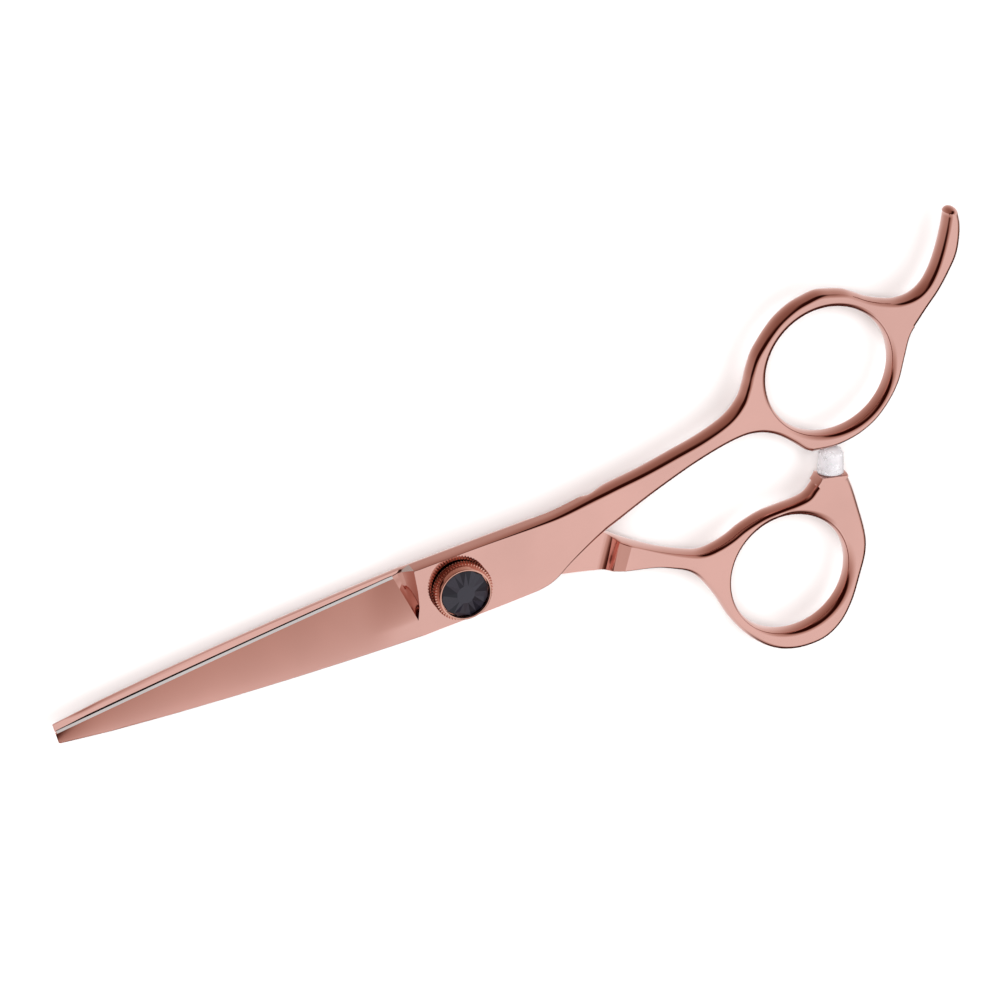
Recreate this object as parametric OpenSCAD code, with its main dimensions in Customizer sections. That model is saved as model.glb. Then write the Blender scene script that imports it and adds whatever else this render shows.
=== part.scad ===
// Hair cutting shears with an offset handle, lying flat and closed.
// Origin: pivot axis, on the underside of the pivot bolt's head.
// +X runs from the pivot to the rings, +Y towards the finger ring, +Z out of the dial side.

/* [Blades] */
// Pivot axis to the blade tips
blade_length = 68.5; // [55:0.5:80]
// Half width of the pivot boss and of the blade's heel
boss_half_width = 5.8; // [5.6:0.1:6.2]
// Half width of the closed blades at the tip
tip_half_width = 1.2; // [0.8:0.1:1.6]
// Thickness of each half at the pivot
half_thickness = 2.7; // [2.5:0.1:3]
// Gap between the two halves
blade_gap = 0.1; // [0.06:0.02:0.16]
// Thickness of each blade's back at the tip
tip_thickness = 0.9; // [0.7:0.1:1.2]

/* [Handles] */
// Thickness of the shanks and rings
handle_thickness = 3.8; // [3.4:0.1:4.2]
// Bore radius of the finger ring
finger_hole_r = 10.9; // [10.5:0.1:11.1]
// Bore radius of the thumb ring
thumb_hole_r = 10.3; // [9.8:0.1:10.4]
// Straight length of wall in both ring bores
ring_land = 1.2; // [0.8:0.1:1.6]
// How far the rounded rim of a ring bore reaches out
rim_round = 1; // [0.6:0.1:1.1]

/* [Pivot] */
// Radius of the bolt's head
head_r = 4.2; // [3.6:0.1:4.6]
// Height of the bolt's head
head_height = 0.6; // [0.5:0.1:0.8]
// Radius of the journal that turns in the bush
journal_r = 2.2; // [2:0.1:2.4]
// Radius of the threaded end
thread_r = 1.75; // [1.6:0.05:1.8]
// Depth of the recess under the dial
recess_depth = 1.3; // [1.2:0.1:1.4]

/* [Tension dial] */
// Radius of the knurled rim
dial_r = 5; // [4.8:0.1:5.4]
// Height of the knurled rim's top above the boss
knurl_top = 1.75; // [1.6:0.05:2]
// Height of the bezel's lip above the boss
bezel_top = 2.9; // [2.7:0.1:3.2]
// Number of knurls
knurls = 60; // [40:2:72]

/* [Bumper] */
// Radius of the bumper
bumper_r = 2.2; // [2:0.1:2.4]
// Length of the bumper
bumper_length = 4.7; // [4.4:0.1:4.7]

/* [Hidden] */
$fn = 72;
over = 1; // cutters run this far past a face

// Levels, from the underside of the bolt's head upwards
rear_bottom = head_height;
rear_top = rear_bottom + half_thickness;
front_bottom = rear_top + blade_gap;
face = front_bottom + half_thickness;
handle_bottom = face - handle_thickness;
recess_floor = face - recess_depth;
seat_gap = 0.01; // clearance between stacked flat faces
fit_gap = 0.04; // radial clearance round the bolt

// The bolt and what is stacked on it
neck_r = 2.6;
neck_flat = 2.1; // half distance across the neck's flats
thread_flat = 1.45; // half distance across the threaded end's flats
bolt_end = face + 1.2;
bush_r = 3;
washer_r = 5;
washer_seat = 0.2; // depth of the blade washer's seat in the front half
recess_r = 4.5;
thrust_thickness = 0.25;
spring_bottom = recess_floor + thrust_thickness + 2 * seat_gap;
spring_height = 0.6;
click_bottom = spring_bottom + spring_height + seat_gap;
click_thickness = 0.45;

// Dial and stone, heights above the face
bezel_r = 4.35;
stone_r = 4.05;
stone_bottom = 1.7;
girdle = 0.45;

// Bumper's stud
stud_r = 0.9;
stud_depth = 2.4; // in the stub
stud_reach = 2.6; // in the bumper

// Places of the two ring bores and of the bumper
finger_hole = [68.4, 13];
thumb_hole = [54.3, -19.6];
stub_end = [65.3, -5.1];
bumper_turn = -14; // turn of the bumper's axis from +Y

// A curve through the given points
function curve_point(a, b, c, d, t) =
    0.5 * (2 * b + (c - a) * t + (2 * a - 5 * b + 4 * c - d) * t * t + (3 * b - a - 3 * c + d) * t * t * t);
function curve(pts, steps = 2) =
    let (last = len(pts) - 1)
    [for (i = [0:last - 1], k = [0:steps - 1])
        curve_point(i > 0 ? pts[i - 1] : 2 * pts[0] - pts[1], pts[i], pts[i + 1],
                    i < last - 1 ? pts[i + 2] : 2 * pts[last] - pts[last - 1], k / steps)];
function mirrored(pts) = [for (i = [len(pts) - 1:-1:0]) [pts[i].x, -pts[i].y]];
function arc(centre, r, from, to, steps) =
    [for (k = [0:steps]) centre + r * [cos(from + (to - from) * k / steps), sin(from + (to - from) * k / steps)]];

heel_x = -9; // where the boss gives way to the blade

// Edge of a half from its boss to where it leaves the other half's shadow
neck = [[12.5, -5.7], [14.5, -5.4], [16.3, -4.7], [18.5, -3.4], [21.5, -1.9]];

// Finger half: under edge of the shank, ring, finger rest and back along the upper edge
front_under = concat(neck, [[25.5, -0.1], [29.6, 1.3], [34.1, 2.9], [38.5, 4.3], [43, 5.6], [48, 6.7],
                            [51.5, 7.1], [53.8, 6.9], [55.8, 6.2], [57.8, 4.9], [59.8, 2.9], [61.5, 0.9],
                            [62.6, 0.1]]);
front_ring = [[62.6, 0.1], [65, -0.3], [67.6, -0.4], [71.2, 0.2], [74.5, 1.6], [77.5, 4], [79.8, 6.8],
              [81.5, 10.2], [82.9, 13.1], [83.8, 14.4], [84.8, 15.3], [86.9, 17.2], [89.7, 19.6],
              [92, 22.1], [93.9, 24.6], [95, 27.2], [95.6, 29.7], [95.65, 31.6]];
rest_tip = [94.5, 31.6];
rest_tip_r = 1.15;
front_over = [[93.5, 31.9], [92.5, 29.4], [91.1, 26.5], [89.4, 23.7], [87.5, 21.6], [85.3, 20.5],
              [82.6, 20.5], [79.9, 21.5], [77.6, 22.8], [75.9, 24.1], [74.2, 25.3], [71.9, 26.2],
              [69.6, 26.8], [67.2, 26.6], [64.8, 26.1], [62.1, 24.9], [60.1, 23.5], [58.3, 21.9],
              [56.6, 20.1], [55.2, 17.8], [54, 15.4], [52.5, 13.2], [49.7, 11.2], [45, 9.7], [39.5, 8.7],
              [34, 7.8], [28.5, 7.2], [23.5, 6.5], [18.5, 5.9], [13.5, 5.8]];

// Thumb half: under edge of the shank, ring, bumper stub and back along the upper edge
rear_under = [[24.4, -7.6], [28, -8.5], [32.1, -9.6], [35.2, -11.1], [37.8, -12.8], [39.6, -15.3],
              [41.2, -18.9], [42.7, -23.5], [44.9, -27.7], [47.6, -30.9], [50.5, -32.8], [54, -33.7],
              [57.9, -33.5], [61.3, -31.7], [64, -28.6], [66.3, -24.5], [67.9, -21.3], [68.6, -18.7],
              [68.7, -15.8], [68.5, -12.3], [68.2, -8.5], [67.7, -5.7]];
rear_over = [[63.1, -4.6], [62.5, -5.3], [61.5, -6.1], [60.1, -7.1], [58, -7.4], [55.3, -7.4], [52, -7.5],
             [48.4, -8.3], [45.8, -9.3], [43.3, -9.9], [40.8, -10], [38.3, -9.1], [34.2, -6.9],
             [30.4, -4.5], [27.4, -2.5], [24.8, -0.4]];

front_outline = concat([[heel_x, 5.8], [heel_x, -5.8]], curve(front_under), curve(front_ring),
                       arc(rest_tip, rest_tip_r, 0, 150, 6), curve(front_over), [[13.5, 5.8]]);
rear_handle_outline = concat(curve(rear_under), [[67.7, -5.7]],
                             curve(rear_over), [[24.8, -0.4]]);
rear_layer_outline = concat([[heel_x, 5.3], [heel_x, -5.8]],
                            curve([[13.5, -5.6], [16, -5.5], [18.5, -6], [21.2, -6.6], [24.4, -7.3], [28, -8.1]]),
                            [[30.5, -8.3], [31.5, -6.4]], curve([[27.6, -3.2], [24.8, -0.8], [21.5, 1.7]]),
                            mirrored([for (i = [1:3]) neck[i]]), [[12.5, 5.4]]);

// A flat-faced slab with the given outline
module slab(outline, bottom, top) {
    translate([0, 0, bottom])
        linear_extrude(top - bottom)
            polygon(outline);
}

// The blade of a half that lies on the plane z = 0, its back towards -Y and its cutting edge towards +Y
module blade() {
    root_x = heel_x + 1;
    edge_y = boss_half_width - 0.9; // cutting edge at the root
    edge_turn = atan((edge_y - 0.1) / (root_x + blade_length));
    edge_height = 0.3; // the honed edge's height
    grind = 18; // slope of the ground face, degrees
    crown = half_thickness - 0.3; // height of the blade's back at its root
    back_turn = atan((crown - tip_thickness) / (root_x + blade_length));
    size = 90;
    plan = concat([[-blade_length, -tip_half_width - 0.6], [-55, -3.6], [-30, -4.9], [root_x, -boss_half_width]],
                  [for (s = [1:-0.25:0])
                      [-blade_length + s * (root_x + blade_length), 0.1 + (edge_y - 0.1) * (1 - pow(1 - s, 1.15))]]);
    difference() {
        linear_extrude(crown)
            polygon(plan);
        translate([-blade_length, -size / 2, tip_thickness])
            rotate([0, -back_turn, 0])
                translate([-over, 0, 0])
                    cube([size, size, 10]);
        translate([-blade_length, 0.1, edge_height])
            rotate([0, 0, edge_turn])
                rotate([-grind, 0, 0])
                    translate([-10, -size / 2, 0])
                        cube([size, size, 20]);
    }
}

// Reflects its children in the plane z = level
module mirror_z(level) {
    translate([0, 0, 2 * level])
        mirror([0, 0, 1])
            children();
}

// Cutter for a ring bore: a straight land with a rounded rim above and below it
module ring_bore(r) {
    middle = (face + handle_bottom) / 2;
    rise = (handle_thickness - ring_land) / 2;
    half_rim = [for (a = [0:15:90]) [r + rim_round * (1 - cos(a)), ring_land / 2 + rise * sin(a)]];
    flare = concat(half_rim, [[r + rim_round, handle_thickness]]);
    translate([0, 0, middle])
        rotate_extrude()
            polygon(concat([for (i = [len(flare) - 1:-1:0]) [flare[i].x, -flare[i].y]], flare,
                           [[0, handle_thickness], [0, -handle_thickness]]));
}

// Cutter that clears the other half's level in front of the shank and ends in a scooped wall.
// It stands on z = 0 and reaches far enough up to pass the face.
module scoop() {
    scoop_r = 2.2;
    reach = 40;
    deep = half_thickness + 2 * over;
    translate([24.8, -3.9, 0])
        rotate([0, 0, -28.5]) {
            translate([-reach, -reach / 2, 0])
                cube([reach, reach, deep]);
            translate([0, reach / 2, scoop_r])
                rotate([90, 0, 0])
                    cylinder(r = scoop_r, h = reach);
            translate([0, -reach / 2, scoop_r])
                cube([scoop_r, reach, deep - scoop_r]);
            translate([scoop_r, -reach / 2, scoop_r])
                rotate([0, -20, 0])
                    translate([-over, 0, 0])
                        cube([4, reach, deep]);
        }
}

// Wedge-shaped notch that ends the front blade's grind at the heel: a steep wall and a sloping floor
module heel_notch() {
    translate([-8, -2.9, face])
        rotate([0, 0, 11])
            rotate([-15.7, 0, 0])
                rotate([0, -28, 0])
                    translate([0, -2, 0])
                        cube([8, 16, 6]);
}

module front_half() {
    color("#c88f80")
        difference() {
            union() {
                difference() {
                    slab(front_outline, handle_bottom, face);
                    mirror_z(front_bottom)
                        translate([0, 0, front_bottom])
                            mirror([0, 1, 0])
                                scoop();
                }
                translate([0, 0, front_bottom])
                    blade();
            }
            heel_notch();
            translate([finger_hole.x, finger_hole.y, 0])
                ring_bore(finger_hole_r);
            // Bush seat, recess for the blade washer and recess for the dial's stack
            translate([0, 0, front_bottom - over])
                cylinder(r = bush_r, h = half_thickness + 2 * over);
            translate([0, 0, front_bottom - over])
                cylinder(r = washer_r + fit_gap, h = over + washer_seat);
            translate([0, 0, recess_floor])
                cylinder(r = recess_r, h = recess_depth + over);
        }
}

module rear_half() {
    color("#c08878")
        difference() {
            union() {
                difference() {
                    slab(rear_handle_outline, handle_bottom, face);
                    translate([0, 0, rear_top])
                        scoop();
                }
                difference() {
                    slab(rear_layer_outline, rear_bottom, rear_top);
                    // Tapers the layer's end away under the shank
                    translate([24, 0, rear_bottom - over])
                        rotate([0, -14, 0])
                            translate([0, -20, -8])
                                cube([20, 40, 9]);
                }
                translate([0, 0, rear_top])
                    rotate([180, 0, 0])
                        blade();
            }
            translate([thumb_hole.x, thumb_hole.y, 0])
                ring_bore(thumb_hole_r);
            translate([0, 0, rear_bottom - over])
                flatted(neck_r + fit_gap, neck_flat + fit_gap, half_thickness + 2 * over);
            at_stub()
                translate([0, 0, -stud_depth])
                    cylinder(r = stud_r + fit_gap / 2, h = stud_depth + over);
        }
}

// A round bar with two flats, standing on z = 0
module flatted(r, flat, h) {
    intersection() {
        cylinder(r = r, h = h);
        translate([-flat, -r - over, -over])
            cube([2 * flat, 2 * (r + over), h + 2 * over]);
    }
}

// Places its children on the end of the bumper stub, +Z along the bumper
module at_stub() {
    translate([stub_end.x, stub_end.y, (face + handle_bottom) / 2])
        rotate([0, 0, bumper_turn])
            rotate([-90, 0, 0])
                children();
}

module pivot_bolt() {
    color("#b98474") {
        // Low domed head
        rotate_extrude()
            polygon([[0, 0], [head_r - 0.3, 0], [head_r, 0.3], [head_r, head_height - seat_gap],
                     [0, head_height - seat_gap]]);
        translate([0, 0, head_height - 2 * seat_gap])
            flatted(neck_r, neck_flat, half_thickness);
        translate([0, 0, rear_top - 0.1])
            cylinder(r = journal_r, h = recess_floor - rear_top + 0.1 - 0.05);
        translate([0, 0, recess_floor - 0.3])
            flatted(thread_r, thread_flat, bolt_end - recess_floor + 0.3);
    }
}

module pivot_bush() {
    color("#c9a24a")
        translate([0, 0, front_bottom + washer_seat + seat_gap])
            difference() {
                cylinder(r = bush_r - 0.005, h = recess_floor - front_bottom - washer_seat - 2 * seat_gap);
                translate([0, 0, -over])
                    cylinder(r = journal_r + fit_gap, h = half_thickness + 2 * over);
            }
}

// A flat ring standing on z = level
module ring(r, hole, level, h) {
    translate([0, 0, level])
        difference() {
            cylinder(r = r, h = h);
            translate([0, 0, -over])
                cylinder(r = hole, h = h + 2 * over);
        }
}

module blade_washer() {
    color("#f0f0ea")
        ring(washer_r, journal_r + 0.08, rear_top + seat_gap, blade_gap + washer_seat - 2 * seat_gap);
}

module thrust_washer() {
    color("#b8babd")
        ring(recess_r - 0.3, thread_r + 0.12, recess_floor + seat_gap, thrust_thickness);
}

// Wave spring with three crests each side, between the thrust washer and the click plate
module tension_spring() {
    inner = thread_r + 0.35;
    outer = recess_r - 0.7;
    strip = 0.2;
    steps = 48;
    middle = spring_bottom + spring_height / 2;
    swing = (spring_height - strip) / 2;
    points = [for (k = [0:steps - 1], p = [[inner, 0], [outer, 0], [outer, strip], [inner, strip]])
        let (a = 360 * k / steps) [p[0] * cos(a), p[0] * sin(a), middle - strip / 2 + swing * sin(3 * a) + p[1]]];
    faces = [for (k = [0:steps - 1], i = [0:3])
        let (next = (k + 1) % steps) [k * 4 + i, k * 4 + (i + 1) % 4, next * 4 + (i + 1) % 4, next * 4 + i]];
    color("#9fa3a8")
        polyhedron(points, faces, convexity = 6);
}

module click_plate() {
    color("#a9acb0")
        translate([0, 0, click_bottom])
            difference() {
                cylinder(r = recess_r - 0.35, h = click_thickness);
                translate([0, 0, -over])
                    flatted(thread_r + fit_gap, thread_flat + fit_gap, click_thickness + 2 * over);
                // Detent dimples
                for (a = [0:30:330])
                    rotate([0, 0, a])
                        translate([3.1, 0, click_thickness - 0.15])
                            cylinder(r = 0.3, h = over);
            }
}

module tension_dial() {
    hub_bottom = click_bottom + click_thickness + seat_gap - face;
    rim_bottom = 0.45;
    groove = 0.18; // depth of the knurls
    knurl = [for (k = [0:2 * knurls - 1])
        let (a = 180 * k / knurls, r = dial_r - groove * (k % 2)) [r * cos(a), r * sin(a)]];
    color("#bd8272")
        translate([0, 0, face])
            difference() {
                union() {
                    translate([0, 0, rim_bottom])
                        linear_extrude(knurl_top - rim_bottom)
                            polygon(knurl);
                    // Hub below the rim, dished collar and bezel above it
                    rotate_extrude()
                        polygon([[0, hub_bottom], [recess_r - 0.4, hub_bottom], [recess_r - 0.4, rim_bottom + 0.1],
                                 [dial_r - 0.35, knurl_top - 0.1], [dial_r - 0.35, knurl_top + 0.05],
                                 [bezel_r, knurl_top + 0.35], [bezel_r, bezel_top - 0.15],
                                 [bezel_r - 0.12, bezel_top], [0, bezel_top]]);
                }
                translate([0, 0, hub_bottom - over])
                    cylinder(r = thread_r + fit_gap, h = bolt_end - face - hub_bottom + 0.35 + over);
                translate([0, 0, stone_bottom])
                    cylinder(r = stone_r + fit_gap, h = bezel_top - stone_bottom + over);
            }
}

// Round stone with a flat table and a crown of facets
module dial_stone() {
    facets = 12;
    table_r = 1.5;
    color("#17171c")
        translate([0, 0, face + stone_bottom]) {
            cylinder(r = stone_r, h = girdle);
            translate([0, 0, girdle - 0.01])
                cylinder(r1 = stone_r - 0.02, r2 = table_r, h = bezel_top - stone_bottom - girdle - 0.1, $fn = facets);
        }
}

module bumper() {
    dome = 1.3;
    wall = [for (a = [0:15:90]) [(bumper_r - 0.15) * cos(a), bumper_length - dome + dome * sin(a)]];
    color([0.93, 0.93, 0.95, 0.7])
        at_stub()
            difference() {
                rotate_extrude()
                    polygon(concat([[0, 0.05], [bumper_r, 0.05]], wall));
                translate([0, 0, -over])
                    cylinder(r = stud_r + fit_gap / 2, h = stud_reach + 0.1 + over);
            }
}

module bumper_stud() {
    color("#b8babd")
        at_stub()
            translate([0, 0, 0.05 - stud_depth])
                cylinder(r = stud_r, h = stud_depth + stud_reach - 0.05);
}

front_half();
rear_half();
pivot_bolt();
pivot_bush();
blade_washer();
thrust_washer();
tension_spring();
click_plate();
tension_dial();
dial_stone();
bumper();
bumper_stud();
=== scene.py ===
import math

import bmesh
import bpy
import numpy as np
from mathutils import Matrix, Vector


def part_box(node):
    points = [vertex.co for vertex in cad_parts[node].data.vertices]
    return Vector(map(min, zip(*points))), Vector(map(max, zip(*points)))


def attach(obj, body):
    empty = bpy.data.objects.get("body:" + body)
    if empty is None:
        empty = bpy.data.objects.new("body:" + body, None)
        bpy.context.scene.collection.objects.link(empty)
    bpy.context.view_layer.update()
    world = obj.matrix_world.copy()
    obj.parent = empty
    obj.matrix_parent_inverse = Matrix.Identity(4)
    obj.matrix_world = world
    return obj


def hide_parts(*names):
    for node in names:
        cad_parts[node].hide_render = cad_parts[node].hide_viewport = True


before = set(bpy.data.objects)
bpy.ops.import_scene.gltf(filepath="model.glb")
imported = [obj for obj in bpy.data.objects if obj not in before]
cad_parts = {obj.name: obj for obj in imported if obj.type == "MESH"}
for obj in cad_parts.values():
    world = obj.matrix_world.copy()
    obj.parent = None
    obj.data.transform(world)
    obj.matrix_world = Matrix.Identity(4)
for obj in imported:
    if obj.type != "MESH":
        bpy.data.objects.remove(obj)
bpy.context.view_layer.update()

MM = 0.001

# ---------------------------------------------------------------- driving sizes in millimetres
# Levels come from the frame: the boss lies under the dial, the thumb half's layer on the bolt's head.
front_low, front_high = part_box("front_half")
rear_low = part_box("rear_half")[0]
washer_low, washer_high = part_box("blade_washer")
FACE = front_high[2] / MM
HANDLE_BOTTOM = front_low[2] / MM
REAR_BOTTOM = rear_low[2] / MM
REAR_TOP = washer_low[2] / MM - 0.01
FRONT_BOTTOM = REAR_TOP + 0.1
TIP_X = front_low[0] / MM
BOSS = 5.8  # half width of the pivot boss
BOSS_START_X = -8  # where the boss begins, behind the blades' roots
HEEL_X = -9.0
BLADE_ROOT_X = HEEL_X + 1
SHARP = 0.02  # reach of a side wall that is left crisp
HANDLE_MIDDLE = (FACE + HANDLE_BOTTOM) / 2
CREASE = (24.8, -3.9)  # where the thumb half's scooped step starts, on the shank's middle
CREASE_TURN = math.radians(-28.5)
FINGER_HOLE, FINGER_R = (68.4, 13.0), 10.9
THUMB_HOLE, THUMB_R = (54.3, -19.6), 10.3
WASHER_R, WASHER_TOP = 5.04, washer_high[2] / MM + 0.01  # seats round the pivot
BUSH_R, NECK_R = 3.02, 2.64
RECESS_R, RECESS_FLOOR = 4.5, FACE - 1.3
STUB_END = (65.3, -5.1)
BUMPER_TURN = math.radians(-14)

NECK = [(12.5, -5.7), (14.5, -5.4), (16.3, -4.7), (18.5, -3.4), (21.5, -1.9)]
FRONT_UNDER = NECK + [(25.5, -0.1), (29.6, 1.3), (34.1, 2.9), (38.5, 4.3), (43, 5.6), (48, 6.7),
                       (51.5, 7.1), (53.8, 6.9), (55.8, 6.2), (57.8, 4.9), (59.8, 2.9), (61.5, 0.9),
                       (62.6, 0.1)]
FRONT_RING = [(62.6, 0.1), (65, -0.3), (67.6, -0.4), (71.2, 0.2), (74.5, 1.6), (77.5, 4), (79.8, 6.8),
              (81.5, 10.2), (82.9, 13.1), (83.8, 14.4), (84.8, 15.3), (86.9, 17.2), (89.7, 19.6),
              (92, 22.1), (93.9, 24.6), (95, 27.2), (95.6, 29.7), (95.65, 31.6)]
REST_TIP, REST_TIP_R = (94.5, 31.6), 1.15
FRONT_OVER = [(93.5, 31.9), (92.5, 29.4), (91.1, 26.5), (89.4, 23.7), (87.5, 21.6), (85.3, 20.5),
              (82.6, 20.5), (79.9, 21.5), (77.6, 22.8), (75.9, 24.1), (74.2, 25.3), (71.9, 26.2),
              (69.6, 26.8), (67.2, 26.6), (64.8, 26.1), (62.1, 24.9), (60.1, 23.5), (58.3, 21.9),
              (56.6, 20.1), (55.2, 17.8), (54, 15.4), (52.5, 13.2), (49.7, 11.2), (45, 9.7), (39.5, 8.7),
              (34, 7.8), (28.5, 7.2), (23.5, 6.5), (18.5, 5.9), (13.5, 5.8)]
REAR_UNDER = [(13.5, -5.6), (16, -5.5), (18.5, -6), (21.2, -6.7), (24.4, -7.6), (28, -8.5), (32.1, -9.6),
              (35.2, -11.1), (37.8, -12.8), (39.6, -15.3), (41.2, -18.9), (42.7, -23.5), (44.9, -27.7),
              (47.6, -30.9), (50.5, -32.8), (54, -33.7), (57.9, -33.5), (61.3, -31.7), (64, -28.6),
              (66.3, -24.5), (67.9, -21.3), (68.6, -18.7), (68.7, -15.8), (68.5, -12.3), (68.2, -8.5),
              (67.7, -5.7)]
REAR_OVER = [(63.1, -4.6), (62.5, -5.3), (61.5, -6.1), (60.1, -7.1), (58, -7.4), (55.3, -7.4), (52, -7.5),
             (48.4, -8.3), (45.8, -9.3), (43.3, -9.9), (40.8, -10), (38.3, -9.1), (34.2, -6.9),
             (30.4, -4.5), (27.4, -2.5), (24.8, -0.4), (21.5, 1.9), (18.5, 3.4), (16.3, 4.7), (14.5, 5.2),
             (12.5, 5.4)]


# ---------------------------------------------------------------- camera, floor and light
VIEW_AZIMUTH, VIEW_ELEVATION, VIEW_ROLL = -156.03, 60.74, 138.3  # degrees
VIEW_DISTANCE = 0.7
LENS, CLIP_START = 158.2, 0.01  # millimetres, metres
VIEW_CENTRE = Vector((9.96 * MM, 12.3 * MM, FACE * MM))
LEAN = Vector((-0.406, 0.914, 0))  # level direction from the shears towards the camera
FLOOR_HALF, FLOOR_LEVEL = 3.0, -0.0002
# Studio brightness as (lean, level) stops: lean -1 is away from the camera's side, 1 towards it
ABOVE_HORIZON = [(-1, 0.03), (-0.88, 0.05), (-0.78, 0.6), (-0.62, 1), (-0.38, 1), (-0.12, 0.86),
                 (0.12, 0.68), (0.34, 0.52), (0.46, 0.12), (0.56, 0.02), (0.88, 0.04), (1, 0.3)]
BELOW_HORIZON = [(-1, 0.02), (-0.75, 0.06), (-0.6, 0.9), (-0.3, 1), (0, 0.86), (0.35, 0.62), (0.7, 0.44),
                 (1, 0.3)]
HORIZON_BLUR = 0.1
# name, place in metres, size in metres, power in watts
LIGHTS = [("key", (-0.5, 0.9, 1.3), 1.0, 26.0), ("fill", (0.9, -0.4, 1.2), 1.6, 14.0)]


def make_camera():
    az, el, roll = (math.radians(a) for a in (VIEW_AZIMUTH, VIEW_ELEVATION, VIEW_ROLL))
    back = Vector((math.sin(az) * math.cos(el), -math.cos(az) * math.cos(el), math.sin(el)))
    level = Vector((0, 0, 1)).cross(back).normalized()
    right = math.cos(roll) * level + math.sin(roll) * back.cross(level)
    up = back.cross(right)
    cam = bpy.data.objects.new("camera", bpy.data.cameras.new("camera"))
    cam.data.lens = LENS
    cam.data.clip_start = CLIP_START
    place = Matrix((right, up, back)).transposed().to_4x4()
    place.translation = VIEW_CENTRE + VIEW_DISTANCE * back
    cam.matrix_world = place
    bpy.context.scene.collection.objects.link(cam)
    bpy.context.scene.camera = cam


def nodes_of(material):
    material.use_nodes = True
    tree = material.node_tree
    return tree, tree.nodes["Principled BSDF"]


def make_floor():
    corners = [(x * FLOOR_HALF, y * FLOOR_HALF, 0) for x, y in ((-1, -1), (1, -1), (1, 1), (-1, 1))]
    mesh = bpy.data.meshes.new("floor")
    mesh.from_pydata(corners, [], [(0, 1, 2, 3)])
    floor = bpy.data.objects.new("floor", mesh)
    floor.location.z = FLOOR_LEVEL
    floor.visible_glossy = False
    material = bpy.data.materials.new("studio_floor")
    tree, shader = nodes_of(material)
    shader.inputs["Roughness"].default_value = 0.9
    shader.inputs["Specular IOR Level"].default_value = 0.0
    noise = tree.nodes.new("ShaderNodeTexNoise")
    noise.inputs["Scale"].default_value = 3
    ramp = tree.nodes.new("ShaderNodeValToRGB")
    ramp.color_ramp.elements[0].color = (0.9, 0.9, 0.905, 1)
    ramp.color_ramp.elements[1].color = (0.93, 0.93, 0.93, 1)
    tree.links.new(noise.outputs["Fac"], ramp.inputs["Fac"])
    tree.links.new(ramp.outputs["Color"], shader.inputs["Base Color"])
    mesh.materials.append(material)
    bpy.context.scene.collection.objects.link(floor)


def studio_ramp(tree, lean, stops):
    """Brightness against the lean towards the camera's side. Dim parts of the studio are warm."""
    ramp = tree.nodes.new("ShaderNodeValToRGB")
    band = ramp.color_ramp
    while len(band.elements) < len(stops):
        band.elements.new(0.5)
    for element, (place, level) in zip(band.elements, stops):
        element.position = (place + 1) / 2
        element.color = (level, level**1.5, level**1.7, 1)
    tree.links.new(lean, ramp.inputs["Fac"])
    return ramp.outputs["Color"]


def make_studio():
    """Bright far wall and ceiling, dark panel above the camera's side, warm dim surroundings below."""
    world = bpy.data.worlds.new("studio")
    bpy.context.scene.world = world
    world.use_nodes = True
    tree = world.node_tree
    coord = tree.nodes.new("ShaderNodeTexCoord")
    dot = tree.nodes.new("ShaderNodeVectorMath")
    dot.operation = "DOT_PRODUCT"
    dot.inputs[1].default_value = LEAN
    tree.links.new(coord.outputs["Generated"], dot.inputs[0])
    remap = tree.nodes.new("ShaderNodeMapRange")
    remap.inputs["From Min"].default_value = -1
    tree.links.new(dot.outputs["Value"], remap.inputs["Value"])
    lean = remap.outputs["Result"]
    above = studio_ramp(tree, lean, ABOVE_HORIZON)
    below = studio_ramp(tree, lean, BELOW_HORIZON)
    height = tree.nodes.new("ShaderNodeSeparateXYZ")
    tree.links.new(coord.outputs["Generated"], height.inputs["Vector"])
    horizon = tree.nodes.new("ShaderNodeMapRange")
    horizon.inputs["From Min"].default_value = -HORIZON_BLUR
    horizon.inputs["From Max"].default_value = HORIZON_BLUR
    tree.links.new(height.outputs["Z"], horizon.inputs["Value"])
    blend = tree.nodes.new("ShaderNodeMix")
    blend.data_type = "RGBA"
    tree.links.new(horizon.outputs["Result"], blend.inputs["Factor"])
    # A mix node has one set of sockets per data type: these are the colour ones
    colour_a, colour_b, colour_out = blend.inputs[6], blend.inputs[7], blend.outputs[2]
    tree.links.new(below, colour_a)
    tree.links.new(above, colour_b)
    tree.links.new(colour_out, tree.nodes["Background"].inputs["Color"])
    for name, place, size, power in LIGHTS:
        light = bpy.data.objects.new(name, bpy.data.lights.new(name, "AREA"))
        light.data.size = size
        light.data.energy = power
        light.location = place
        light.rotation_euler = (-Vector(place)).to_track_quat("-Z", "Y").to_euler()
        light.visible_glossy = False
        bpy.context.scene.collection.objects.link(light)
    bpy.context.scene.view_settings.view_transform = "Standard"


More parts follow.
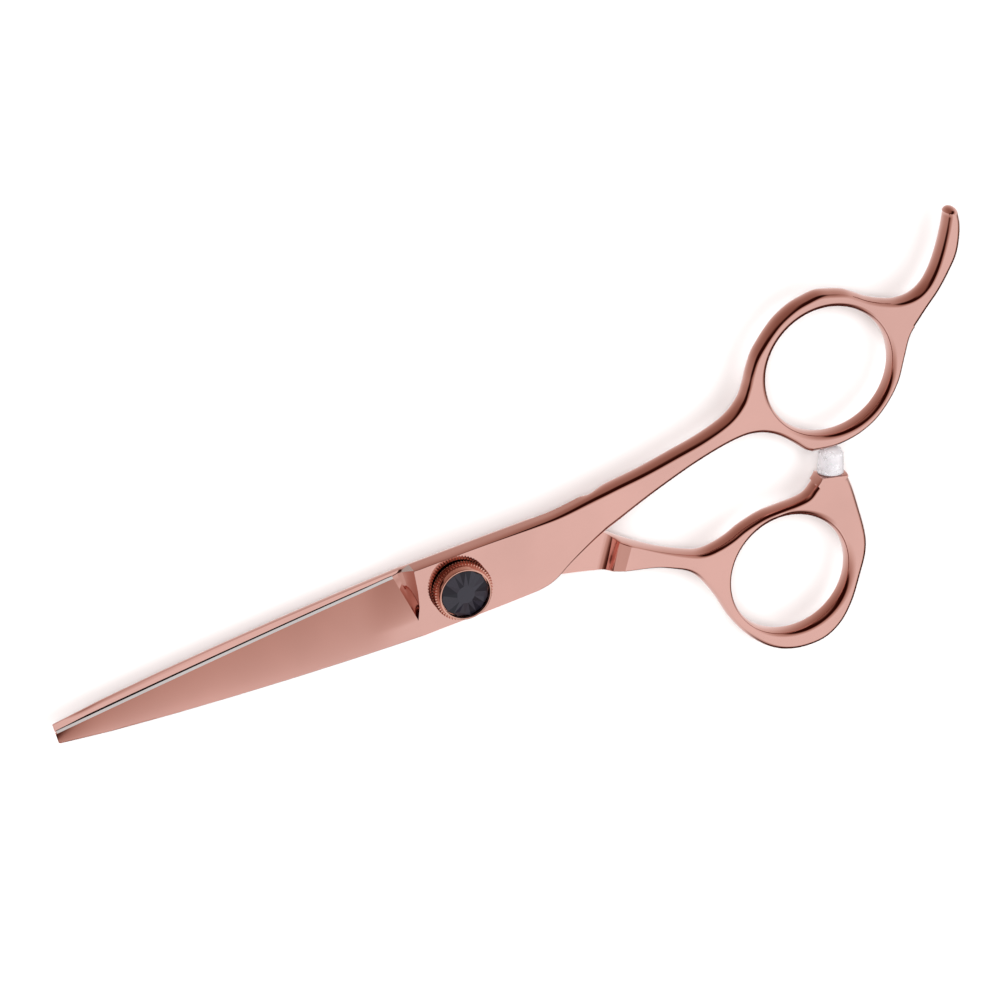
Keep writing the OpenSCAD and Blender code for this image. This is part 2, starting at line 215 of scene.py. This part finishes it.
# ---------------------------------------------------------------- materials
def metal(name, colour, rough, scratch=0.02, tint=0.05, grain=(1, 1, 1)):
    """Polished metal: slow tint variation, fine polishing marks in the roughness and bump."""
    material = bpy.data.materials.new(name)
    tree, shader = nodes_of(material)
    new, link = tree.nodes.new, tree.links.new
    shader.inputs["Metallic"].default_value = 1
    coord = new("ShaderNodeTexCoord")
    stretch = new("ShaderNodeMapping")
    stretch.inputs["Scale"].default_value = grain
    link(coord.outputs["Object"], stretch.inputs["Vector"])
    slow = new("ShaderNodeTexNoise")
    slow.inputs["Scale"].default_value = 60
    slow.inputs["Detail"].default_value = 3
    link(coord.outputs["Object"], slow.inputs["Vector"])
    ramp = new("ShaderNodeValToRGB")
    ramp.color_ramp.elements[0].position = 0.3
    ramp.color_ramp.elements[1].position = 0.7
    ramp.color_ramp.elements[0].color = (*[c * (1 - tint) for c in colour], 1)
    ramp.color_ramp.elements[1].color = (*[min(1, c * (1 + tint)) for c in colour], 1)
    link(slow.outputs["Fac"], ramp.inputs["Fac"])
    link(ramp.outputs["Color"], shader.inputs["Base Color"])
    fine = new("ShaderNodeTexNoise")
    fine.inputs["Scale"].default_value = 2500
    fine.inputs["Detail"].default_value = 4
    link(stretch.outputs["Vector"], fine.inputs["Vector"])
    spread = new("ShaderNodeMapRange")
    spread.inputs["To Min"].default_value = rough * 0.7
    spread.inputs["To Max"].default_value = rough * 1.3
    link(fine.outputs["Fac"], spread.inputs["Value"])
    link(spread.outputs["Result"], shader.inputs["Roughness"])
    bump = new("ShaderNodeBump")
    bump.inputs["Strength"].default_value = scratch
    bump.inputs["Distance"].default_value = 0.00002
    link(fine.outputs["Fac"], bump.inputs["Height"])
    link(bump.outputs["Normal"], shader.inputs["Normal"])
    return material


def plastic(name, colour, rough, transmission=0.0, scale=900, ior=1.45, gloss=0.5):
    """Moulded or cut material with a faint mottle and surface texture."""
    material = bpy.data.materials.new(name)
    tree, shader = nodes_of(material)
    new, link = tree.nodes.new, tree.links.new
    coord = new("ShaderNodeTexCoord")
    noise = new("ShaderNodeTexNoise")
    noise.inputs["Scale"].default_value = scale
    noise.inputs["Detail"].default_value = 4
    link(coord.outputs["Object"], noise.inputs["Vector"])
    ramp = new("ShaderNodeValToRGB")
    ramp.color_ramp.elements[0].color = (*[c * 0.9 for c in colour], 1)
    ramp.color_ramp.elements[1].color = (*[min(1, c * 1.08) for c in colour], 1)
    link(noise.outputs["Fac"], ramp.inputs["Fac"])
    link(ramp.outputs["Color"], shader.inputs["Base Color"])
    spread = new("ShaderNodeMapRange")
    spread.inputs["To Min"].default_value = rough * 0.8
    spread.inputs["To Max"].default_value = rough * 1.2
    link(noise.outputs["Fac"], spread.inputs["Value"])
    link(spread.outputs["Result"], shader.inputs["Roughness"])
    shader.inputs["Transmission Weight"].default_value = transmission
    shader.inputs["IOR"].default_value = ior
    shader.inputs["Specular IOR Level"].default_value = gloss
    return material


ROSE = (0.71, 0.412, 0.36)
rose_steel = metal("rose_steel", ROSE, 0.07)
blade_steel = metal("blade_steel", ROSE, 0.16, scratch=0.05, grain=(1, 0.08, 1))
honed_steel = metal("honed_steel", (0.72, 0.72, 0.73), 0.25, scratch=0.2, grain=(0.05, 1, 1))
bolt_steel = metal("bolt_steel", ROSE, 0.18, scratch=0.1)
knurl_steel = metal("knurl_steel", (0.74, 0.41, 0.33), 0.16, scratch=0.06)
bare_steel = metal("bare_steel", (0.6, 0.6, 0.61), 0.3, scratch=0.15)
spring_steel = metal("spring_steel", (0.45, 0.46, 0.48), 0.32, scratch=0.15)
bronze = metal("bronze", (0.75, 0.56, 0.27), 0.28, scratch=0.15)
low_friction = plastic("low_friction", (0.86, 0.86, 0.83), 0.45)
black_stone = plastic("black_stone", (0.008, 0.008, 0.013), 0.04, scale=300, ior=1.6, gloss=0.22)
# Two lighter copies of the black stone: painted reflection on its table and on some facets
stone_painted_light = plastic("stone_painted_light", (0.026, 0.025, 0.034), 0.05, scale=300, ior=1.6, gloss=0.2)
stone_painted_half_light = plastic("stone_painted_half_light", (0.017, 0.016, 0.024), 0.05, scale=300, ior=1.6, gloss=0.3)
soft_clear = plastic("soft_clear", (0.9, 0.9, 0.94), 0.28, transmission=0.5, scale=700)


# ---------------------------------------------------------------- outlines
def curve(points, steps=8):
    """A smooth open curve through the points, without its last point."""
    p = np.array(points, float)
    p = np.vstack([2 * p[0] - p[1], p, 2 * p[-1] - p[-2]])
    t = (np.arange(steps) / steps)[:, None]
    out = []
    for a, b, c, d in zip(p, p[1:], p[2:], p[3:]):
        out.append(0.5 * (2 * b + (c - a) * t + (2 * a - 5 * b + 4 * c - d) * t**2
                          + (3 * b - a - 3 * c + d) * t**3))
    return np.vstack(out)


def straight(a, b, steps):
    return np.linspace(a, b, steps, endpoint=False)


def arc(centre, r, start, stop, steps):
    angles = np.radians(np.linspace(start, stop, steps + 1))
    return np.array(centre) + r * np.stack([np.cos(angles), np.sin(angles)], 1)


def outward(points):
    """Unit normals that point out of a counter-clockwise outline."""
    step = np.roll(points, -1, 0) - np.roll(points, 1, 0)
    step /= np.linalg.norm(step, axis=1)[:, None]
    return np.stack([step[:, 1], -step[:, 0]], 1)


def smoothstep(x, low, high):
    t = np.clip((np.asarray(x, float) - low) / (high - low), 0, 1)
    return t * t * (3 - 2 * t)


def mix(a, b, t):
    return a + (b - a) * t


def past_crease(x, y, side):
    """Distance past the step's crease, along the shank. side is -1 on the thumb half, else 1."""
    return (x - CREASE[0]) * math.cos(CREASE_TURN) + (-side * y - CREASE[1]) * math.sin(CREASE_TURN)


SCOOP_R, SCOOP_END, FACET_END = 2.15, 2.0, 3.9
FACET_RISE = 0.75


def scoop_rise(s, height):
    """Rise of the scooped step at s past its crease: a round hollow, then a shallow facet up to the face."""
    s = np.asarray(s, float)
    hollow = SCOOP_R - np.sqrt(np.maximum(SCOOP_R**2 - np.clip(s, 0, SCOOP_END) ** 2, 0))
    top = SCOOP_R - math.sqrt(SCOOP_R**2 - SCOOP_END**2)
    scale = (height - FACET_RISE) / top
    facet = FACET_RISE * np.clip((s - SCOOP_END) / (FACET_END - SCOOP_END), 0, 1)
    return np.where(s <= SCOOP_END, hollow * scale, top * scale + facet)


SCOOP_CUTS = [0.0, 0.5, 0.9, 1.2, 1.45, 1.65, 1.8, 1.95, 2.6, 3.3, 3.9]
RAMP_CUTS = [1, 2.5, 4, 5.5, 7, 8.5, 10]


# ---------------------------------------------------------------- the two forgings
ARC_LEVELS = [0, 5, 10, 16, 24, 33, 43, 54, 66, 78]
BORE_STEPS, HOLE_STEPS = 128, 96
CREASE_ANGLE = 26  # degrees, sharper edges than this stay crisp


def wall_levels():
    """Angles down one side wall, from the lower cap's edge (-90) up to the upper cap's edge (90)."""
    lower = [-90 + a for a in ARC_LEVELS]
    upper = [90 - a for a in reversed(ARC_LEVELS)]
    return np.radians(lower + [0] + upper)


class Forging:
    """One half's mesh, in millimetres: flat faces, rounded sides, ring bore, pivot holes and blade."""

    def __init__(self, side):
        self.side = side
        self.bm = bmesh.new()

    def top(self, x, y):
        if self.side > 0:
            return np.full(np.shape(x), FACE)
        return REAR_TOP + scoop_rise(past_crease(x, y, self.side), FACE - REAR_TOP)

    def bottom(self, x, y):
        s = past_crease(x, y, self.side)
        if self.side > 0:
            return FRONT_BOTTOM - scoop_rise(s, FRONT_BOTTOM - HANDLE_BOTTOM)
        return mix(REAR_BOTTOM, HANDLE_BOTTOM, smoothstep(s, 1, 10))

    def wall(self, outline, reach_top, reach_bottom, crest=0.5):
        """Rows of points up the rounded side wall of an outline, and the vertices of its two cap edges.
        crest is where the wall stands out furthest, as a share of its height."""
        x, y = outline[:, 0], outline[:, 1]
        low, high = self.bottom(x, y), self.top(x, y)
        middle = mix(low, high, crest)
        rows = []
        normal = outward(outline)
        for a in wall_levels():
            reach = reach_top if a > 0 else reach_bottom
            inset = reach * (1 - math.cos(a))
            p = outline - normal * inset[:, None]
            if a >= 0:
                z = mix(middle, self.top(p[:, 0], p[:, 1]), math.sin(a))
            else:
                z = mix(middle, self.bottom(p[:, 0], p[:, 1]), -math.sin(a))
            rows.append([self.bm.verts.new((px, py, pz)) for (px, py), pz in zip(p, z)])
        self.skin(rows)
        return rows[0], rows[-1]

    def skin(self, rows, flip=False, closed=True, smooth=True, material=0):
        for lower, upper in zip(rows, rows[1:]):
            n = len(lower)
            for i in range(n if closed else n - 1):
                j = (i + 1) % n
                loop = [lower[i], lower[j], upper[j], upper[i]]
                face = self.bm.faces.new(loop[::-1] if flip else loop)
                face.smooth = smooth
                face.material_index = material

    def bore(self, centre, r, rim, shift, land=0.6):
        """Ring bore with a rounded rim above and below. The upper rim's edge is shifted by shift."""
        t = np.linspace(0, 2 * math.pi, BORE_STEPS, endpoint=False)
        ring = np.stack([np.cos(t), np.sin(t)], 1)
        rows = []
        for a in wall_levels():
            out = 1 - math.cos(a)
            middle = np.array(centre) + (np.array(shift) * out if a > 0 else 0)
            p = middle + ring * (r + rim * out)
            z = HANDLE_MIDDLE + math.copysign(land / 2, a) * min(1, abs(a) * 4)
            z += math.sin(a) * ((FACE - HANDLE_BOTTOM) / 2 - land / 2)
            rows.append([self.bm.verts.new((px, py, z)) for px, py in p])
        self.skin(rows, flip=True)
        return rows[0], rows[-1]

    def turned_hole(self, profile):
        """Stepped hole on the pivot's axis from its lower edge up; returns its two end loops."""
        t = np.linspace(0, 2 * math.pi, HOLE_STEPS, endpoint=False)
        rows = [[self.bm.verts.new((r * math.cos(a), r * math.sin(a), z)) for a in t] for r, z in profile]
        self.skin(rows, flip=True)
        return rows[0], rows[-1]

    def cap(self, loops, level, cuts, up):
        """A face that fills the loops. It is cut along the step so that it follows the level."""
        flat = bmesh.new()
        for loop in loops:
            verts = [flat.verts.new((v.co.x, v.co.y, 0)) for v in loop]
            for a, b in zip(verts, verts[1:] + verts[:1]):
                flat.edges.new((a, b))
        bmesh.ops.triangle_fill(flat, use_beauty=True, use_dissolve=False, edges=flat.edges[:],
                                normal=(0, 0, 1))
        across = Vector((math.cos(CREASE_TURN), -self.side * math.sin(CREASE_TURN), 0))
        for s in cuts:
            start = Vector((CREASE[0], -self.side * CREASE[1], 0)) + s * across
            bmesh.ops.bisect_plane(flat, geom=flat.verts[:] + flat.edges[:] + flat.faces[:], dist=1e-5,
                                   plane_co=start, plane_no=across)
        made = {}
        for v in flat.verts:
            z = float(level(np.array(v.co.x), np.array(v.co.y)))
            made[v] = self.bm.verts.new((v.co.x, v.co.y, z))
        for f in flat.faces:
            verts = [made[v] for v in f.verts]
            if (f.normal.z > 0) != up:
                verts.reverse()
            face = self.bm.faces.new(verts)
            centre = f.calc_center_median()
            s = past_crease(centre.x, centre.y, self.side)
            face.smooth = bool(cuts) and 0 < s < SCOOP_END and up == (self.side < 0)
        flat.free()

    def object(self, name, materials, body, node):
        bmesh.ops.remove_doubles(self.bm, verts=self.bm.verts[:], dist=1e-4)
        bmesh.ops.dissolve_degenerate(self.bm, edges=self.bm.edges[:], dist=1e-5)
        bmesh.ops.scale(self.bm, vec=(MM, MM, MM), verts=self.bm.verts[:])
        made = piece(name, self.bm, materials, body, node)
        sharpen(made, CREASE_ANGLE)


def piece(name, bm, materials, body, node):
    mesh = bpy.data.meshes.new(name)
    bm.to_mesh(mesh)
    bm.free()
    for material in materials:
        mesh.materials.append(material)
    made = bpy.data.objects.new(name, mesh)
    bpy.context.scene.collection.objects.link(made)
    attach(made, body)
    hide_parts(node)
    return made


APEX_Y = -2.9  # end of the heel notch, level with the face
EDGE_RISE = 0.02  # height of the cutting edge
HONE_RISE = 0.1  # height of the honed bevel
HONE_WIDTH, HONE_SHARE = 0.45, 0.22  # its width, and the most that may be of a narrow blade
TIP_HEIGHT = 0.75
GRIND = 1.3  # exponent of the ground top's crown
HOLLOW = 0.16  # depth of the hollow inner face
BLADE_STATIONS = 64
BACK_ANGLES = [75, 60, 45, 30, 15, 0]  # degrees down the rounded back
BACK_ROWS = len(BACK_ANGLES)
TIP_INSET = 0.18  # share by which the blunt tip is drawn in
BACK_X = [TIP_X, -60, -50, -40, -30, -20, BLADE_ROOT_X]
BACK_Y = [1.8, 2.85, 3.7, 4.35, 4.9, 5.35, BOSS]


def edge_y(x):
    """Cutting edge of a blade at x: nearly straight, with a slight belly."""
    t = np.clip((x - TIP_X) / (BLADE_ROOT_X - TIP_X), 0, 1)
    return 0.1 + (BOSS - 1.0) * (1 - (1 - t) ** 1.15)


def back_y(x, rear):
    """Back of a blade at x. The thumb half's blade is a little narrower, most of all towards its tip."""
    y = np.interp(x, BACK_X, BACK_Y)
    if rear:
        y = y - mix(0.55, 0.3, smoothstep(x, TIP_X, HEEL_X))
    return -y


def blade_rows(notched):
    """Rows of (x, y, z) across the top of a blade from its cutting edge to its back, the tip first.
    z is above the plane that the two blades meet on."""
    thickness = FACE - FRONT_BOTTOM
    across = np.concatenate([[0, 0.35], np.linspace(0, 1, 26)[1:]])
    rows = []
    for k in range(BLADE_STATIONS + 1):
        x = mix(TIP_X + 0.25, BLADE_ROOT_X, k / BLADE_STATIONS)
        e, b = float(edge_y(x)), float(back_y(x, not notched))
        height = mix(TIP_HEIGHT, thickness, smoothstep(x, TIP_X - 6, HEEL_X + 3) ** 0.8)
        hone = min(HONE_WIDTH, HONE_SHARE * (e - b))
        row = []
        for i, u in enumerate(across):
            if i == 0:
                y, z = e, EDGE_RISE
            elif i == 1:
                y, z = e - hone, EDGE_RISE + HONE_RISE
            else:
                y = mix(e - hone, b, u)
                start = EDGE_RISE + HONE_RISE
                ground = mix(start, height, 1 - (1 - u) ** GRIND)
                flat_start = (e - hone - APEX_Y) / (e - hone - b)
                v = np.clip(u / max(flat_start, 0.05), 0, 1)
                rooted = mix(start, thickness, 1 - (1 - v) ** GRIND)
                z = mix(ground, rooted, smoothstep(x, -17, HEEL_X + 0.5))
            slant = smoothstep(x, -16, BLADE_ROOT_X) * max(0, y - APEX_Y) / (BOSS - 1 - APEX_Y)
            row.append((x - (1.7 * slant if notched else 0), y, z))
        # The finger half's back is crisp, the thumb half's is rounded over its whole height
        x_last, y_last, z_last = row[-1]
        reach = 0.12 if notched else 0.56 * z_last
        drop = 0.15 if notched else z_last - 0.05
        row[-1] = (x_last, y_last + reach, z_last)
        inner = [p for p in row[:-1] if p[1] > y_last + reach * 1.02]
        while len(inner) < len(row) - 1:
            inner.append(row[-1])
        row = inner + [row[-1]]
        for a in np.radians(BACK_ANGLES):
            row.append((x_last, y_last + reach * (1 - math.cos(a)), z_last - drop * (1 - math.sin(a))))
        rows.append(row)
    return rows


def add_blade(forging, base, flip):
    """The blade's closed mesh: ground top, back, hollow inner face, blunt tip.
    base is the level of its inner face. flip turns it over for the thumb half."""
    bm = forging.bm
    sign = -1 if flip else 1

    def vert(x, y, z):
        return bm.verts.new((x, sign * y, base + sign * z))

    rows = blade_rows(notched=not flip)
    loops = []
    for row in rows:
        x_edge, y_edge = row[0][0], row[0][1]
        x_back, y_back = row[-1][0], row[-1][1]
        inside = []
        for v in np.linspace(0, 1, 14):
            x = mix(x_back, x_edge, v)
            middle = smoothstep(x, TIP_X, TIP_X + 6) * (1 - smoothstep(x, -16, -12))
            inside.append((x, mix(y_back, y_edge, v), HOLLOW * middle * math.sin(math.pi * v) ** 0.7))
        loops.append([vert(*p) for p in row] + [vert(*p) for p in inside[:-1]])
    top_count = len(rows[0])
    turned = not flip
    for k, (near, far) in enumerate(zip(loops, loops[1:])):
        n = len(near)
        for i in range(n):
            j = (i + 1) % n
            quad = [near[i], near[j], far[j], far[i]]
            face = bm.faces.new(quad if turned else quad[::-1])
            honed = i == 0 or i == n - 1
            face.smooth = not honed
            face.material_index = 2 if honed else (1 if i < top_count - BACK_ROWS - 1 else 0)
    # Blunt tip: the loop drawn in a little, then closed
    tip = loops[0]
    middle = sum((v.co for v in tip), Vector()) / len(tip)
    inner = [bm.verts.new((TIP_X, *(mix(v.co, middle, TIP_INSET)[1:]))) for v in tip]
    n = len(tip)
    for i in range(n):
        j = (i + 1) % n
        quad = [inner[i], inner[j], tip[j], tip[i]]
        face = bm.faces.new(quad if turned else quad[::-1])
        face.smooth = True
    bm.faces.new(inner[::-1] if turned else inner)
    root = loops[-1]
    bm.faces.new(root if turned else root[::-1])


def notch_edge(t):
    """The boss's curved edge along the heel notch: t 0 at its apex, 1 at its mouth."""
    return np.interp(t, [0, 0.25, 0.55, 0.8, 1], [-8, -7.25, -6.85, -6.7, -6.6]), mix(APEX_Y, BOSS, t)


def add_notch(forging):
    """The notch's sloping floor, from its bottom line against the blade up to the boss's edge."""
    bm = forging.bm
    steps, across = 24, 8
    mouth = Vector((-9.75, edge_y(-9.7), FRONT_BOTTOM + EDGE_RISE))
    rows = []
    for k in range(steps + 1):
        t = k / steps
        # Steep wall down from the blade's end, then the floor up to the boss's edge
        x_blade, y_blade = mix(BOSS_START_X, mouth.x, t), mix(APEX_Y, mouth.y, t)
        share = (y_blade - APEX_Y) / (edge_y(BOSS_START_X) - HONE_WIDTH - APEX_Y)
        z_blade = mix(FACE, mouth.z, min(1, share) ** 1.3)
        x_high, y_high = notch_edge(t)
        x_low, y_low = mix(x_blade, x_high, 0.3), mix(y_blade, y_high, 0.2)
        z_low = max(mix(FACE, mouth.z, t**0.55), FRONT_BOTTOM + EDGE_RISE)
        row = [bm.verts.new((x_blade - 0.02, y_blade, max(z_blade, z_low)))]
        for v in np.linspace(0, 1, across + 1):
            rise = v**1.3
            p = (mix(x_low, x_high, v), mix(y_low, y_high, v), mix(z_low, FACE, rise))
            row.append(bm.verts.new(p))
        rows.append(row)
    forging.skin(rows, flip=True, closed=False)
    # Mouth wall down to the inner face
    last = rows[-1]
    foot = [bm.verts.new((v.co.x, v.co.y, FRONT_BOTTOM)) for v in last]
    forging.skin([last, foot], flip=True, closed=False, smooth=False, material=2)


ROOT_MARGIN_X = BOSS_START_X + 0.1  # what lies before this is the joint with the blade


def build_front():
    forging = Forging(1)
    outline = np.vstack([
        straight((BOSS_START_X, -BOSS), NECK[0], 24), curve(FRONT_UNDER), curve(FRONT_RING),
        arc(REST_TIP, REST_TIP_R, 8, 150, 18), curve(FRONT_OVER),
        straight(FRONT_OVER[-1], (-6.6, BOSS), 24),
        np.array([notch_edge(t) for t in np.linspace(1, 0, 24)])])
    x, y = outline[:, 0], outline[:, 1]
    s = past_crease(x, y, 1)
    handle = smoothstep(x, 2, 30)
    slim = 1 - 0.3 * smoothstep(x, 60, 72) * (y < 15)
    notch = smoothstep(x, -7.6, -6.2) * np.where((x < -6) & (abs(y) < BOSS - 0.2), 0, 1)
    notch = np.where(x < ROOT_MARGIN_X, 0, notch)
    reach = mix(0.2, 1, handle) * slim
    top = np.where(y < 0, mix(0.2, 1, handle), 1) * reach * np.maximum(notch, SHARP)
    under = reach * mix(0.05, 1, smoothstep(s, 0, 2)) * np.maximum(notch, SHARP)
    low, high = forging.wall(outline, top, under)
    bore_low, bore_high = forging.bore(FINGER_HOLE, FINGER_R, 1.1, (0, 0))
    # Seats of the washer, the bush and the dial's stack
    seat_low, seat_high = forging.turned_hole([
        (WASHER_R, FRONT_BOTTOM), (WASHER_R, WASHER_TOP), (BUSH_R, WASHER_TOP), (BUSH_R, RECESS_FLOOR),
        (RECESS_R, RECESS_FLOOR), (RECESS_R, FACE)])
    forging.cap([high, bore_high, seat_high], forging.top, [], True)
    forging.cap([low, bore_low, seat_low], forging.bottom, SCOOP_CUTS, False)
    add_notch(forging)
    add_blade(forging, FRONT_BOTTOM, False)
    forging.object("front_forging", [rose_steel, blade_steel, honed_steel], "finger_half", "front_half")


def build_rear():
    forging = Forging(-1)
    outline = np.vstack([
        straight((BOSS_START_X, -BOSS), REAR_UNDER[0], 24), curve(REAR_UNDER),
        straight(REAR_UNDER[-1], REAR_OVER[0], 10), curve(REAR_OVER),
        straight(REAR_OVER[-1], (BOSS_START_X, REAR_OVER[-1][1]), 24),
        straight((BOSS_START_X, REAR_OVER[-1][1]), (BOSS_START_X, -BOSS), 12)])
    x, y = outline[:, 0], outline[:, 1]
    s = past_crease(x, y, -1)
    stub = (np.hypot(x - STUB_END[0], y - STUB_END[1]) < 3.4) & (y > -6.2)
    narrow = 1 - 0.55 * (1 - smoothstep(x, 30, 41)) * smoothstep(x, 14, 24)
    top = mix(0.05, 0.95, smoothstep(s, 0, 2.4)) * narrow * np.where(stub, 0.25, 1)
    under = mix(0.5, 1, smoothstep(s, 0, 6)) * np.where(stub, 0.25, 1)
    boss = (y > 0) * (1 - smoothstep(x, 12, 18))
    under = mix(under, 1.5, boss)
    root = (x < ROOT_MARGIN_X) & (abs(y) < 5.2)
    under = np.where(root, SHARP, under)
    top = np.where(root, SHARP, top)
    low, high = forging.wall(outline, top, under, crest=mix(0.5, 0.98, boss))
    bore_low, bore_high = forging.bore(THUMB_HOLE, THUMB_R, 1.15, (0.55, 0.05))
    bolt_low, bolt_high = forging.turned_hole([(NECK_R, REAR_BOTTOM), (NECK_R, REAR_TOP)])
    forging.cap([high, bore_high, bolt_high], forging.top, SCOOP_CUTS, True)
    forging.cap([low, bore_low, bolt_low], forging.bottom, RAMP_CUTS, False)
    add_blade(forging, REAR_TOP, True)
    forging.object("rear_forging", [rose_steel, blade_steel, honed_steel], "thumb_half", "rear_half")


# ---------------------------------------------------------------- dial, stone and bumper
def lathe(profile, steps, place=Matrix(), radius=lambda r, k, a: r):
    """A turned mesh in metres, closed at both ends of its profile of (r, z) in millimetres.
    place moves it. radius(r, row, angle) gives the radius of a point whose row is at r."""
    bm = bmesh.new()
    rows = []
    for k, (r, z) in enumerate(profile):
        row = []
        for i in range(steps):
            a = 2 * math.pi * i / steps
            rr = radius(r, k, a)
            point = Vector((rr * math.cos(a) * MM, rr * math.sin(a) * MM, z * MM))
            row.append(bm.verts.new(place @ point))
        rows.append(row)
    for lower, upper in zip(rows, rows[1:]):
        for i in range(steps):
            j = (i + 1) % steps
            bm.faces.new([lower[i], lower[j], upper[j], upper[i]]).smooth = True
    bm.faces.new(rows[0][::-1])
    bm.faces.new(rows[-1])
    return bm


def sharpen(made, degrees):
    """Marks edges that turn by more than the angle as sharp, so that flats stay flat."""
    bm = bmesh.new()
    bm.from_mesh(made.data)
    limit = math.radians(degrees)
    for e in bm.edges:
        if len(e.link_faces) == 2 and e.calc_face_angle(0) > limit:
            e.smooth = False
    bm.to_mesh(made.data)
    bm.free()


DIAL_R, KNURL_TOP, BEZEL_TOP = 5.0, 1.75, 2.9
KNURLS, KNURL_DEPTH = 60, 0.5


def build_dial():
    rim, seat = 0.45, 1.72
    thread_r, hub_r, bezel_out, bezel_in = 1.8, 4.1, 4.36, 4.08
    dial_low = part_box("tension_dial")[0][2] / MM
    hub = dial_low - FACE
    # (radius, height above the face, share of the knurling)
    profile = [(thread_r, seat - 0.1, 0), (thread_r, hub, 0), (hub_r, hub, 0), (hub_r, rim, 0),
               (DIAL_R - 0.22, rim, 0), (DIAL_R, rim + 0.16, 1), (DIAL_R, rim + 0.35, 1),
               (DIAL_R, KNURL_TOP - 0.3, 1), (DIAL_R, KNURL_TOP - 0.14, 1),
               (DIAL_R - 0.07, KNURL_TOP - 0.03, 0.8), (DIAL_R - 0.12, KNURL_TOP, 0.7),
               (DIAL_R - KNURL_DEPTH, KNURL_TOP, 0), (4.56, KNURL_TOP + 0.12, 0), (4.5, KNURL_TOP + 0.4, 0),
               (4.42, KNURL_TOP + 0.75, 0), (bezel_out, BEZEL_TOP - 0.1, 0),
               (bezel_out - 0.04, BEZEL_TOP - 0.03, 0), (4.22, BEZEL_TOP, 0),
               (bezel_in + 0.03, BEZEL_TOP - 0.03, 0), (bezel_in, BEZEL_TOP - 0.1, 0), (bezel_in, seat, 0),
               (0.01, seat, 0)]

    def knurled(r, k, a):
        share = profile[k][2]
        return r - share * KNURL_DEPTH * abs(math.sin(KNURLS * a / 2)) ** 1.4

    bm = lathe([(r, FACE + z) for r, z, _ in profile], KNURLS * 8, radius=knurled)
    made = piece("dial", bm, [knurl_steel], "dial", "tension_dial")
    sharpen(made, 50)


def build_stone():
    """Round black stone: flat table, two rows of crown facets, girdle."""
    facets, table_r, girdle_r = 12, 1.5, 4.03
    bm = bmesh.new()
    top = BEZEL_TOP - 0.02

    def ring(r, z, turn, wobble=0.0):
        out = []
        for i in range(facets):
            a = 2 * math.pi * (i + turn) / facets
            dz = wobble * math.sin(2.7 * i + 1)
            out.append(bm.verts.new((r * math.cos(a) * MM, r * math.sin(a) * MM, (FACE + z + dz) * MM)))
        return out

    table = ring(table_r, top, 0)
    crown = ring(girdle_r, top - 0.66, 0, 0.1)
    between = ring(girdle_r - 0.35, top - 0.5, 0.5, 0.12)
    girdle = ring(girdle_r, top - 0.8, 0)
    foot = ring(girdle_r - 0.2, 1.74, 0)
    bm.faces.new(table)
    for i in range(facets):
        j = (i + 1) % facets
        bm.faces.new([table[j], table[i], between[i]])
        bm.faces.new([table[i], crown[i], between[i]])
        bm.faces.new([table[j], between[i], crown[j]])
        bm.faces.new([between[i], crown[i], crown[j]])
        bm.faces.new([crown[i], girdle[i], girdle[j], crown[j]])
        bm.faces.new([girdle[i], foot[i], foot[j], girdle[j]])
    bm.faces.new(foot[::-1])
    bmesh.ops.recalc_face_normals(bm, faces=bm.faces[:])
    # The table comes first and takes the lightest copy, a painted reflection. The facets take the stone's
    # black and its two lighter copies, painted reflection, in an uneven order
    for i, face in enumerate(bm.faces):
        face.material_index = 0 if i == 0 else (i * 5 // 7) % 3
    piece("stone", bm, [stone_painted_light, black_stone, stone_painted_half_light], "dial", "dial_stone")


def build_bumper():
    r, length, dome = 2.2, 4.7, 1.5
    dome_r = r - 0.12
    stud_r, stud_reach = 0.93, 2.7
    turn = Matrix.Rotation(BUMPER_TURN, 4, "Z") @ Matrix.Rotation(math.radians(-90), 4, "X")
    place = Matrix.Translation((STUB_END[0] * MM, STUB_END[1] * MM, HANDLE_MIDDLE * MM)) @ turn
    top = [(dome_r * math.cos(a), length - dome + dome * math.sin(a))
           for a in np.radians([0, 10, 20, 32, 45, 58, 70, 80, 87, 89.9])]
    profile = [(0.005, stud_reach), (stud_r, stud_reach), (stud_r, 0.06), (dome_r, 0.06), (r, 0.16),
               (r, 0.5), (r - 0.06, 1.8)] + top
    made = piece("bumper_cap", lathe(profile, 72, place), [soft_clear], "thumb_half", "bumper")
    sharpen(made, 60)


def dress_cad_nodes():
    """Carried-over CAD pieces get their finishes."""
    finishes = {"pivot_bolt": bolt_steel, "pivot_bush": bronze, "blade_washer": low_friction,
                "thrust_washer": bare_steel, "tension_spring": spring_steel, "click_plate": bare_steel,
                "bumper_stud": bare_steel}
    for name, material in finishes.items():
        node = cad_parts[name]
        for material_slot in node.material_slots:
            material_slot.material = material


make_camera()
make_floor()
make_studio()
build_front()
build_rear()
build_dial()
build_stone()
build_bumper()
dress_cad_nodes()
